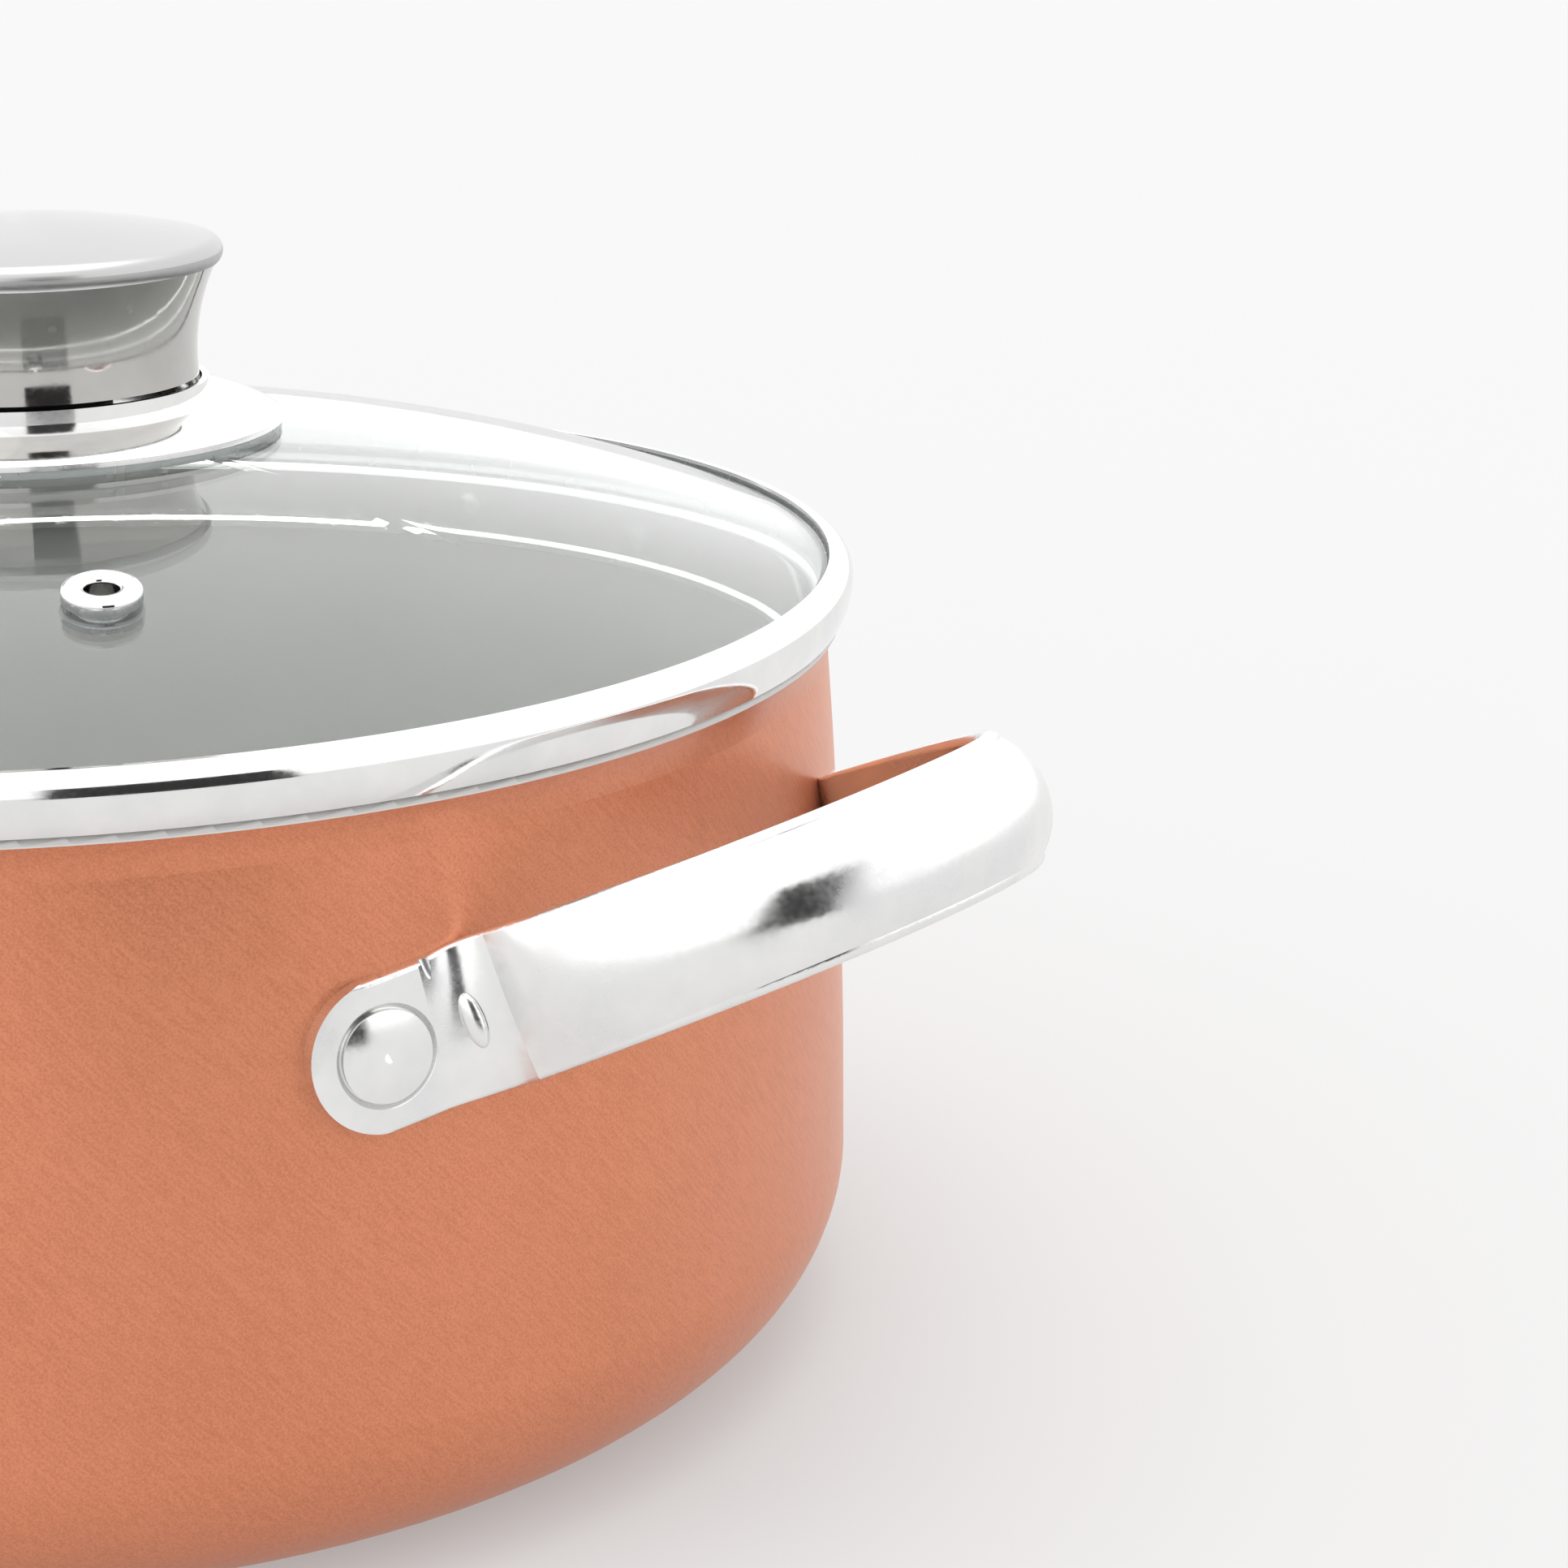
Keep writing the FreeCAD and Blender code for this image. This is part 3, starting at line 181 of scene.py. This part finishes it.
class Finish:
    """A Principled material being put together node by node."""

    def __init__(self, name, **sockets):
        self.material = bpy.data.materials.new(name)
        self.material.use_nodes = True
        self.tree = self.material.node_tree
        self.shader = self.tree.nodes["Principled BSDF"]
        self.place = self.add("ShaderNodeTexCoord").outputs["Object"]
        self.set(self.shader, sockets)

    def plug(self, socket, given):
        """Give a socket a number, a vector, a colour or another node's output."""
        if isinstance(given, bpy.types.NodeSocket):
            self.tree.links.new(given, socket)
        elif hasattr(given, "__len__") and len(given) == 3 and len(socket.default_value) == 4:
            socket.default_value = (*given, 1.0)
        else:
            socket.default_value = given

    def set(self, node, sockets):
        """Plug several sockets of a node, named with _ or a space between words."""
        for key, given in sockets.items():
            self.plug(node.inputs[key.replace("_", " ")], given)

    def add(self, kind, settings=None, **sockets):
        """A new node with its settings and sockets."""
        node = self.tree.nodes.new(kind)
        for key, given in (settings or {}).items():
            setattr(node, key, given)
        self.set(node, sockets)
        return node

    def noise(self, size, detail=3.0, stretch=(1.0, 1.0, 1.0), at=None, rough=0.5):
        """Noise whose grain is about size metres, stretched along the axes."""
        mapping = self.add("ShaderNodeMapping", Vector=at or self.place, Scale=stretch)
        made = self.add("ShaderNodeTexNoise", Vector=mapping.outputs["Vector"], Scale=1.0 / size,
                        Detail=detail, Roughness=rough)
        return made.outputs["Fac"]

    def spread(self, factor, low, high, start=0.35, stop=0.65):
        """Map a factor from start..stop to low..high, held at both ends."""
        made = self.add("ShaderNodeMapRange")
        for socket, given in zip(made.inputs[:5], (factor, start, stop, low, high)):
            self.plug(socket, given)
        return made.outputs["Result"]

    def blend(self, factor, first, second):
        """A colour between first and second."""
        made = self.add("ShaderNodeMix", {"data_type": "RGBA"})
        self.plug(made.inputs[0], factor)
        self.plug(made.inputs[6], first)
        self.plug(made.inputs[7], second)
        return made.outputs[2]

    def reckon(self, operation, first, second):
        """One arithmetic step."""
        made = self.add("ShaderNodeMath", {"operation": operation})
        self.plug(made.inputs[0], first)
        self.plug(made.inputs[1], second)
        return made.outputs["Value"]

    def turned(self, coordinates, angle):
        """Coordinates turned by this many degrees in the plane of arc length and height."""
        return self.add("ShaderNodeMapping", Vector=coordinates,
                        Rotation=(0.0, math.radians(angle), 0.0)).outputs["Vector"]

    def bump(self, height, depth, strength=1.0, below=None):
        """A bump of this depth in metres, optionally on top of another one."""
        made = self.add("ShaderNodeBump", Height=height, Distance=depth, Strength=strength)
        if below is not None:
            self.tree.links.new(below, made.inputs["Normal"])
        return made.outputs["Normal"]

    def axis_parts(self):
        """Distance from the pot's axis, and height, of the shaded point."""
        parts = self.add("ShaderNodeSeparateXYZ", Vector=self.place)
        flat = self.add("ShaderNodeCombineXYZ", X=parts.outputs["X"], Y=parts.outputs["Y"])
        radius = self.add("ShaderNodeVectorMath", {"operation": "LENGTH"},
                          Vector=flat.outputs["Vector"])
        return radius.outputs["Value"], parts.outputs["Z"]

    def around(self):
        """Coordinates that run round the pot's axis: arc length, distance out, height."""
        parts = self.add("ShaderNodeSeparateXYZ", Vector=self.place)
        turn = self.reckon("ARCTAN2", parts.outputs["Y"], parts.outputs["X"])
        radius, height = self.axis_parts()
        arc = self.reckon("MULTIPLY", turn, radius)
        joined = self.add("ShaderNodeCombineXYZ", X=arc, Y=radius, Z=height)
        return joined.outputs["Vector"]

    def give(self, *nodes):
        """Put this material on CAD nodes."""
        for name in nodes:
            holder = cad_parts[name]
            if not holder.material_slots:
                raise RuntimeError(f"{name} has no material slot")
            for slot in holder.material_slots:
                slot.material = self.material
        return self.material


def copper_coat(colours, sizes):
    """Satin metallic coat: fine flake, faint brushed streaks and soft unevenness."""
    finish = Finish("copper_coat", Metallic=0.72, IOR=1.5, Coat_Weight=0.30, Coat_Roughness=0.25)
    slanted = finish.turned(finish.around(), -48.0)
    flake = finish.noise(sizes.flake, detail=2.0, rough=0.6)
    thin = 0.12
    streak = finish.noise(sizes.streak * thin, detail=2.0, stretch=(thin, 1.0, 1.0),
                          at=slanted, rough=0.5)
    cloud = finish.noise(0.03, detail=3.0)
    grain = finish.reckon("ADD", finish.reckon("MULTIPLY", flake, 0.60),
                          finish.reckon("MULTIPLY", streak, 0.28))
    grain = finish.reckon("ADD", grain, finish.reckon("MULTIPLY", cloud, 0.12))
    tint = finish.blend(finish.spread(grain, 0.0, 1.0, start=0.36, stop=0.60),
                        colours.copper_shade, colours.copper)
    rough = finish.spread(flake, sizes.coat_roughness - 0.05, sizes.coat_roughness + 0.07)
    bump = finish.bump(grain, depth=0.00004, strength=0.55)
    finish.set(finish.shader, {"Base Color": tint, "Roughness": rough, "Normal": bump})
    return finish


def lining_coat(colours):
    """Grey non-stick coat with pale flecks and a slight orange-peel."""
    finish = Finish("nonstick_lining", Metallic=0.0, IOR=1.45, Specular_IOR_Level=0.45)
    peel = finish.noise(0.0012, detail=3.0)
    speck = finish.add("ShaderNodeTexVoronoi", {"feature": "F1"}, Vector=finish.place, Scale=520.0)
    fleck = finish.spread(speck.outputs["Distance"], 1.0, 0.0, start=0.10, stop=0.22)
    chosen = finish.add("ShaderNodeSeparateColor", Color=speck.outputs["Color"])
    rare = finish.spread(chosen.outputs["Red"], 0.0, 1.0, start=0.80, stop=0.82)
    pale = finish.reckon("MULTIPLY", fleck, rare)
    worn = finish.blend(finish.spread(finish.noise(0.02), 0.0, 0.35),
                        colours.lining, colours.lining_fleck)
    tint = finish.blend(finish.reckon("MULTIPLY", pale, 0.6), worn, colours.lining_fleck)
    rough = finish.spread(peel, 0.38, 0.52)
    finish.set(finish.shader, {"Base Color": tint, "Roughness": rough,
                               "Normal": finish.bump(peel, depth=0.00005, strength=0.4)})
    return finish


def tinted(base, tint):
    """A colour seen through a tint."""
    return tuple(part * kept for part, kept in zip(base, tint))


def polished_steel(name, colours, sizes, waviness, haze=0.0, tint=(1.0, 1.0, 1.0)):
    """Mirror-polished steel with hair-fine scratches, faint smudges and a slight waviness."""
    finish = Finish(name, Metallic=1.0, IOR=2.5)
    smudge = finish.noise(sizes.smudge, detail=4.0, rough=0.6)
    hair = finish.noise(0.0006, detail=3.0, stretch=(0.06, 1.0, 1.0), rough=0.7)
    wave = finish.noise(0.022, detail=1.0)
    clean = sizes.polish + haze
    rough = finish.reckon("ADD", finish.spread(smudge, 0.0, 0.07 + haze, start=0.40, stop=0.70),
                          finish.spread(hair, clean - 0.02, clean + 0.03))
    tone = finish.blend(finish.spread(smudge, 0.0, 0.5),
                        tinted(colours.steel, tint), tinted(colours.satin, tint))
    slow = finish.bump(wave, depth=waviness * 8, strength=0.5)
    fine = finish.bump(hair, depth=0.000004, strength=0.25, below=slow)
    finish.set(finish.shader, {"Base Color": tone, "Roughness": rough, "Normal": fine})
    return finish


def turned_metal(name, base, sizes, roughness, depth):
    """Satin metal of a base colour, with fine turning marks around the pot's axis."""
    finish = Finish(name, Metallic=1.0, IOR=2.5, Anisotropic=0.45)
    radius, height = finish.axis_parts()
    along = finish.reckon("ADD", radius, finish.reckon("MULTIPLY", height, 0.7))
    rings = finish.add("ShaderNodeCombineXYZ", X=along)
    mark = finish.noise(sizes.turning, detail=4.0, at=rings.outputs["Vector"], rough=0.7)
    soft = finish.noise(0.02, detail=3.0)
    rough = finish.reckon("ADD", finish.spread(mark, roughness - 0.04, roughness + 0.05),
                          finish.spread(soft, 0.0, 0.04))
    darker = tuple(0.88 * part for part in base)
    tone = finish.blend(finish.spread(mark, 0.0, 1.0), darker, base)
    finish.set(finish.shader, {"Base Color": tone, "Roughness": rough,
                               "Normal": finish.bump(mark, depth, strength=0.35)})
    return finish


def clear_glass(colours):
    """Tempered glass with a faint green tint, a slight waviness and a few specks of dust."""
    finish = Finish("lid_glass", Transmission_Weight=1.0, IOR=1.5, Roughness=0.0,
                    Base_Color=tuple(colours.glass))
    wave = finish.noise(0.05, detail=1.0)
    dust = finish.noise(0.0016, detail=2.0)
    rough = finish.spread(dust, 0.0, 0.05, start=0.60, stop=0.75)
    tone = finish.blend(finish.spread(wave, 0.0, 1.0), tuple(colours.glass),
                        tuple(0.985 * part for part in colours.glass))
    finish.set(finish.shader, {"Base Color": tone, "Roughness": rough,
                               "Normal": finish.bump(wave, depth=0.00010, strength=0.2)})
    return finish


def clear_silicone(colours):
    """Milky clear silicone."""
    finish = Finish("clear_silicone", Transmission_Weight=0.75, IOR=1.41, Subsurface_Weight=0.1)
    cloud = finish.noise(0.004, detail=3.0)
    paler = tuple(min(1.0, 1.08 * part) for part in colours.silicone)
    tint = finish.blend(cloud, tuple(colours.silicone), paler)
    finish.set(finish.shader, {"Base Color": tint, "Roughness": finish.spread(cloud, 0.16, 0.28),
                               "Normal": finish.bump(cloud, depth=0.00001, strength=0.1)})
    return finish


def moulded_plastic(colours):
    """Black moulded plastic with a fine grain."""
    finish = Finish("core_plastic", IOR=1.5)
    grain = finish.noise(0.0008, detail=4.0)
    lighter = tuple(part + 0.02 for part in colours.core)
    finish.set(finish.shader, {"Base Color": finish.blend(grain, tuple(colours.core), lighter),
                               "Roughness": finish.spread(grain, 0.42, 0.6),
                               "Normal": finish.bump(grain, depth=0.00004, strength=0.5)})
    return finish


# ---------------------------------------------------------------- turned meshes

def arc(start, end, radius, turn, steps=10):
    """Points (radius, height) on the short arc from start to end, without its end."""
    first, last = Vector(start), Vector(end)
    half = (last - first) / 2
    rise = math.sqrt(max(radius ** 2 - half.length ** 2, 0.0))
    centre = first + half + Vector((-half.y, half.x)).normalized() * rise * turn
    begin = math.atan2(first.y - centre.y, first.x - centre.x)
    swing = math.atan2(last.y - centre.y, last.x - centre.x) - begin
    swing = (swing + math.pi) % (2 * math.pi) - math.pi
    return [(centre.x + radius * math.cos(begin + swing * step / steps),
             centre.y + radius * math.sin(begin + swing * step / steps)) for step in range(steps)]


def turned_mesh(name, outline, steps=360):
    """A smooth closed ring turned about Z from an outline of (radius, height) in millimetres."""
    count = len(outline)
    points = [(radius * MM * math.cos(turn), radius * MM * math.sin(turn), height * MM)
              for turn in (2 * math.pi * step / steps for step in range(steps))
              for radius, height in outline]
    faces = []
    for step in range(steps):
        here, there = step * count, (step + 1) % steps * count
        faces += [(here + spot, there + spot, there + (spot + 1) % count, here + (spot + 1) % count)
                  for spot in range(count)]
    mesh = bpy.data.meshes.new(name)
    mesh.from_pydata(points, [], faces)
    mesh.polygons.foreach_set("use_smooth", [True] * len(faces))
    mesh.set_sharp_from_angle(angle=math.radians(SHARP_DEGREES))
    ring = bpy.data.objects.new(name, mesh)
    bpy.context.scene.collection.objects.link(ring)
    return ring


def band_outline(band):
    """The band's closed outline in millimetres, from the skirt round the outside and back."""
    size = {key: round(getattr(band, key) / MM, 4) for key in band.__annotations__}
    skirt, foot, seat, bend = (size[key] for key in ("skirt_radius", "skirt_foot", "seat", "bend"))
    outer, belt, top, sheet = (size[key] for key in ("outer_radius", "belt", "top", "sheet"))
    seat_edge, mouth, rounding = (size[key] for key in ("seat_radius", "mouth_radius", "rounding"))
    shoulder = outer - rounding
    inner = outer - sheet
    hem = size["hem_width"]
    hem_top = foot + size["hem_height"]
    return (
        [(skirt, foot)]
        + arc((skirt, seat - bend), (skirt + bend, seat), bend, -1)
        + [(skirt + bend, seat)]
        + arc((seat_edge, seat), (outer, belt), size["foot_curve"], 1, 14)
        + arc((outer, belt), (shoulder, top), rounding, 1, 24)
        + [(shoulder, top), (mouth, top), (mouth, top - sheet)]
        + arc((shoulder, top - sheet), (inner, belt), rounding - sheet, -1)
        + [(inner, belt), (seat_edge - sheet, seat + sheet)]
        + arc((skirt + bend, seat + sheet), (skirt - sheet, seat - bend), bend + sheet, 1)
        + [(skirt - sheet, seat - bend), (skirt - sheet, hem_top), (skirt - hem, hem_top - hem / 2),
           (skirt - hem, foot + size["hem_edge"]), (skirt - hem / 2, foot)]
    )


# ---------------------------------------------------------------- studio

def flat_sheet(name, corners):
    """A flat piece of the stage through four corners."""
    mesh = bpy.data.meshes.new(name)
    mesh.from_pydata(corners, [], [(0, 1, 2, 3)])
    sheet = bpy.data.objects.new(name, mesh)
    bpy.context.scene.collection.objects.link(sheet)
    return sheet


def lay_floor(colours, studio):
    """A pale floor that gives off a little light of its own."""
    reach = studio.floor_reach
    corners = [(-reach, -reach, 0), (reach, -reach, 0), (reach, reach, 0), (-reach, reach, 0)]
    floor = flat_sheet("studio_floor", corners)
    finish = Finish("studio_floor", Roughness=0.9, Specular_IOR_Level=0.05,
                    Emission_Strength=studio.floor_glow, Emission_Color=(1.0, 1.0, 1.0))
    cloud = finish.noise(0.4, detail=2.0)
    dimmer = tuple(0.995 * part for part in colours.floor)
    finish.set(finish.shader, {"Base Color": finish.blend(cloud, dimmer, colours.floor)})
    floor.data.materials.append(finish.material)
    floor.location.z = LOW.z - studio.floor_gap


def light_studio(colours, studio):
    """Even light from all round, with a broad light above and a weak one in front."""
    scene = bpy.context.scene
    scene.view_settings.view_transform = "Standard"
    world = bpy.data.worlds.new("studio")
    world.use_nodes = True
    back = world.node_tree.nodes["Background"]
    back.inputs["Color"].default_value = (*colours.sky, 1.0)
    back.inputs["Strength"].default_value = studio.sky_strength
    scene.world = world
    for name, towards, spread, power in (
            ("top_light", studio.top_direction, studio.top_spread, studio.top_strength),
            ("front_light", studio.front_direction, studio.front_spread, studio.front_strength)):
        lamp = bpy.data.lights.new(name, "SUN")
        lamp.angle = spread
        lamp.energy = power
        holder = bpy.data.objects.new(name, lamp)
        holder.location = Vector(towards) * 2.0
        holder.rotation_euler = Vector(towards).to_track_quat("Z", "Y").to_euler()
        scene.collection.objects.link(holder)


def hang_cloth(colours, studio):
    """A dark cloth beside the camera, which gives the polished steel something to mirror."""
    middle, up = Vector(studio.cloth_place), Vector((0, 0, 1))
    half = up.cross(middle).normalized() * studio.cloth_width / 2
    tall = up * studio.cloth_height
    flag = flat_sheet("dark_flag", [middle - half, middle + half,
                                    middle + half + tall, middle - half + tall])
    finish = Finish("dark_flag", Roughness=0.9)
    weave = finish.noise(0.01, detail=2.0)
    finish.set(finish.shader,
               {"Base Color": finish.blend(weave, colours.cloth, colours.cloth_thread)})
    flag.data.materials.append(finish.material)
    flag.visible_camera = False
    flag.visible_diffuse = False
    flag.visible_shadow = False
    flag.visible_transmission = False


def stand_camera(studio):
    """The camera in front, a little above the lid."""
    data = bpy.data.cameras.new("camera")
    data.lens, data.sensor_width = studio.lens, 36.0
    camera = bpy.data.objects.new("camera", data)
    camera.location = studio.eye
    camera.rotation_euler = Vector(studio.sight).to_track_quat("-Z", "Y").to_euler()
    bpy.context.scene.collection.objects.link(camera)
    bpy.context.scene.camera = camera


# ---------------------------------------------------------------- operators

def settings(context):
    """The scene's colours and sizes."""
    return context.scene.casserole_colours, context.scene.casserole_sizes


class CASSEROLE_OT_stage(bpy.types.Operator):
    """Lay the floor, light the studio and set up the camera"""
    bl_idname = "casserole.stage"
    bl_label = "Stage"
    bl_options = {"REGISTER", "UNDO"}

    def execute(self, context):
        colours, studio = context.scene.casserole_colours, context.scene.casserole_studio
        lay_floor(colours, studio)
        light_studio(colours, studio)
        hang_cloth(colours, studio)
        stand_camera(studio)
        return {"FINISHED"}


class CASSEROLE_OT_pot(bpy.types.Operator):
    """Coat the pot in copper outside and grey non-stick inside, and turn its steel disc"""
    bl_idname = "casserole.pot"
    bl_label = "Pot"
    bl_options = {"REGISTER", "UNDO"}

    def execute(self, context):
        colours, sizes = settings(context)
        copper_coat(colours, sizes).give("pot_shell")
        lining_coat(colours).give("nonstick_lining")
        turned_metal("base_steel", colours.satin, sizes, 0.34, 0.00003).give("base_disc")
        return {"FINISHED"}


class CASSEROLE_OT_handles(bpy.types.Operator):
    """Polish the two riveted handles"""
    bl_idname = "casserole.handles"
    bl_label = "Handles"
    bl_options = {"REGISTER", "UNDO"}

    def execute(self, context):
        steel = polished_steel("handle_steel", *settings(context), waviness=0.0001, haze=0.10)
        steel.give("handle_right", "handle_left")
        return {"FINISHED"}


class CASSEROLE_OT_rivets(bpy.types.Operator):
    """Polish the handles' rivets"""
    bl_idname = "casserole.rivets"
    bl_label = "Rivets"
    bl_options = {"REGISTER", "UNDO"}

    def execute(self, context):
        rivets = [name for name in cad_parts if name.startswith("rivet_")]
        steel = polished_steel("rivet_steel", *settings(context), waviness=0.00002, haze=0.06)
        steel.give(*rivets)
        return {"FINISHED"}


class CASSEROLE_OT_lid_rim(bpy.types.Operator):
    """Roll and polish the lid's band and clear its seal"""
    bl_idname = "casserole.lid_rim"
    bl_label = "Lid Rim"
    bl_options = {"REGISTER", "UNDO"}

    def execute(self, context):
        colours, sizes = settings(context)
        outline = band_outline(context.scene.casserole_band)
        band = turned_mesh("lid_band_rolled", outline[::-1])
        steel = polished_steel("band_steel", colours, sizes, waviness=0.000008)
        band.data.materials.append(steel.give("lid_band"))
        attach(band, "lid")
        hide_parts("lid_band")
        clear_silicone(colours).give("glass_seal", "vent_gasket_top", "vent_gasket_bottom",
                                     "skirt_edge_gasket", "knob_centre_gasket", "screw_gasket")
        return {"FINISHED"}


class CASSEROLE_OT_lid_glass(bpy.types.Operator):
    """Make the lid's glass clear"""
    bl_idname = "casserole.lid_glass"
    bl_label = "Lid Glass"
    bl_options = {"REGISTER", "UNDO"}

    def execute(self, context):
        clear_glass(context.scene.casserole_colours).give("lid_glass")
        return {"FINISHED"}


class CASSEROLE_OT_vent(bpy.types.Operator):
    """Polish the steam vent and its washer"""
    bl_idname = "casserole.vent"
    bl_label = "Steam Vent"
    bl_options = {"REGISTER", "UNDO"}

    def execute(self, context):
        steel = polished_steel("vent_steel", *settings(context), waviness=0.00001)
        steel.give("vent_eyelet", "vent_washer")
        return {"FINISHED"}


class CASSEROLE_OT_knob(bpy.types.Operator):
    """Finish the knob, its skirt and what holds them"""
    bl_idname = "casserole.knob"
    bl_label = "Knob"
    bl_options = {"REGISTER", "UNDO"}

    def execute(self, context):
        colours, sizes = settings(context)
        wavy = 0.00002
        polished_steel("skirt_steel", colours, sizes, wavy).give("knob_skirt")
        polished_steel("knob_steel", colours, sizes, wavy, tint=colours.knob).give("knob_body")
        # each turned piece's finish, colour, roughness and depth of its turning marks
        for name, base, roughness, depth, nodes in (
                ("satin_steel", colours.cap, 0.30, 0.000012, ("knob_cap",)),
                ("screw_steel", colours.satin, 0.25, 0.00002, ("knob_screw", "screw_washer")),
                ("insert_brass", colours.brass, 0.25, 0.00003, ("knob_insert",))):
            turned_metal(name, base, sizes, roughness, depth).give(*nodes)
        moulded_plastic(colours).give("knob_core")
        return {"FINISHED"}


STEPS = (
    CASSEROLE_OT_stage,
    CASSEROLE_OT_pot,
    CASSEROLE_OT_handles,
    CASSEROLE_OT_rivets,
    CASSEROLE_OT_lid_rim,
    CASSEROLE_OT_lid_glass,
    CASSEROLE_OT_vent,
    CASSEROLE_OT_knob,
)

# each group of settings, by its name on the scene
GROUPS = {
    "casserole_colours": CasseroleColours,
    "casserole_sizes": CasseroleSizes,
    "casserole_band": CasseroleBand,
    "casserole_studio": CasseroleStudio,
}


class CASSEROLE_PT_pieces(bpy.types.Panel):
    """Lists the casserole's pieces"""
    bl_idname = "CASSEROLE_PT_pieces"
    bl_label = "Casserole"
    bl_space_type = "VIEW_3D"
    bl_region_type = "UI"
    bl_category = "Casserole"

    def draw(self, context):
        column = self.layout.column(align=True)
        for step in STEPS:
            column.operator(step.bl_idname)
        for name, group in GROUPS.items():
            box = self.layout.box()
            for key in group.__annotations__:
                box.prop(getattr(context.scene, name), key)


def register():
    """Make the classes known to Blender and hang the settings on the scene."""
    for item in (*GROUPS.values(), *STEPS, CASSEROLE_PT_pieces):
        bpy.utils.register_class(item)
    for name, group in GROUPS.items():
        setattr(bpy.types.Scene, name, PointerProperty(type=group))


def unregister():
    """Take the settings and classes away again."""
    for name in GROUPS:
        delattr(bpy.types.Scene, name)
    for item in (CASSEROLE_PT_pieces, *reversed(STEPS), *reversed(GROUPS.values())):
        bpy.utils.unregister_class(item)


def main():
    """Build every piece in order."""
    register()
    for step in STEPS:
        family, verb = step.bl_idname.split(".")
        getattr(getattr(bpy.ops, family), verb)()


if __name__ == "__main__":
    main()
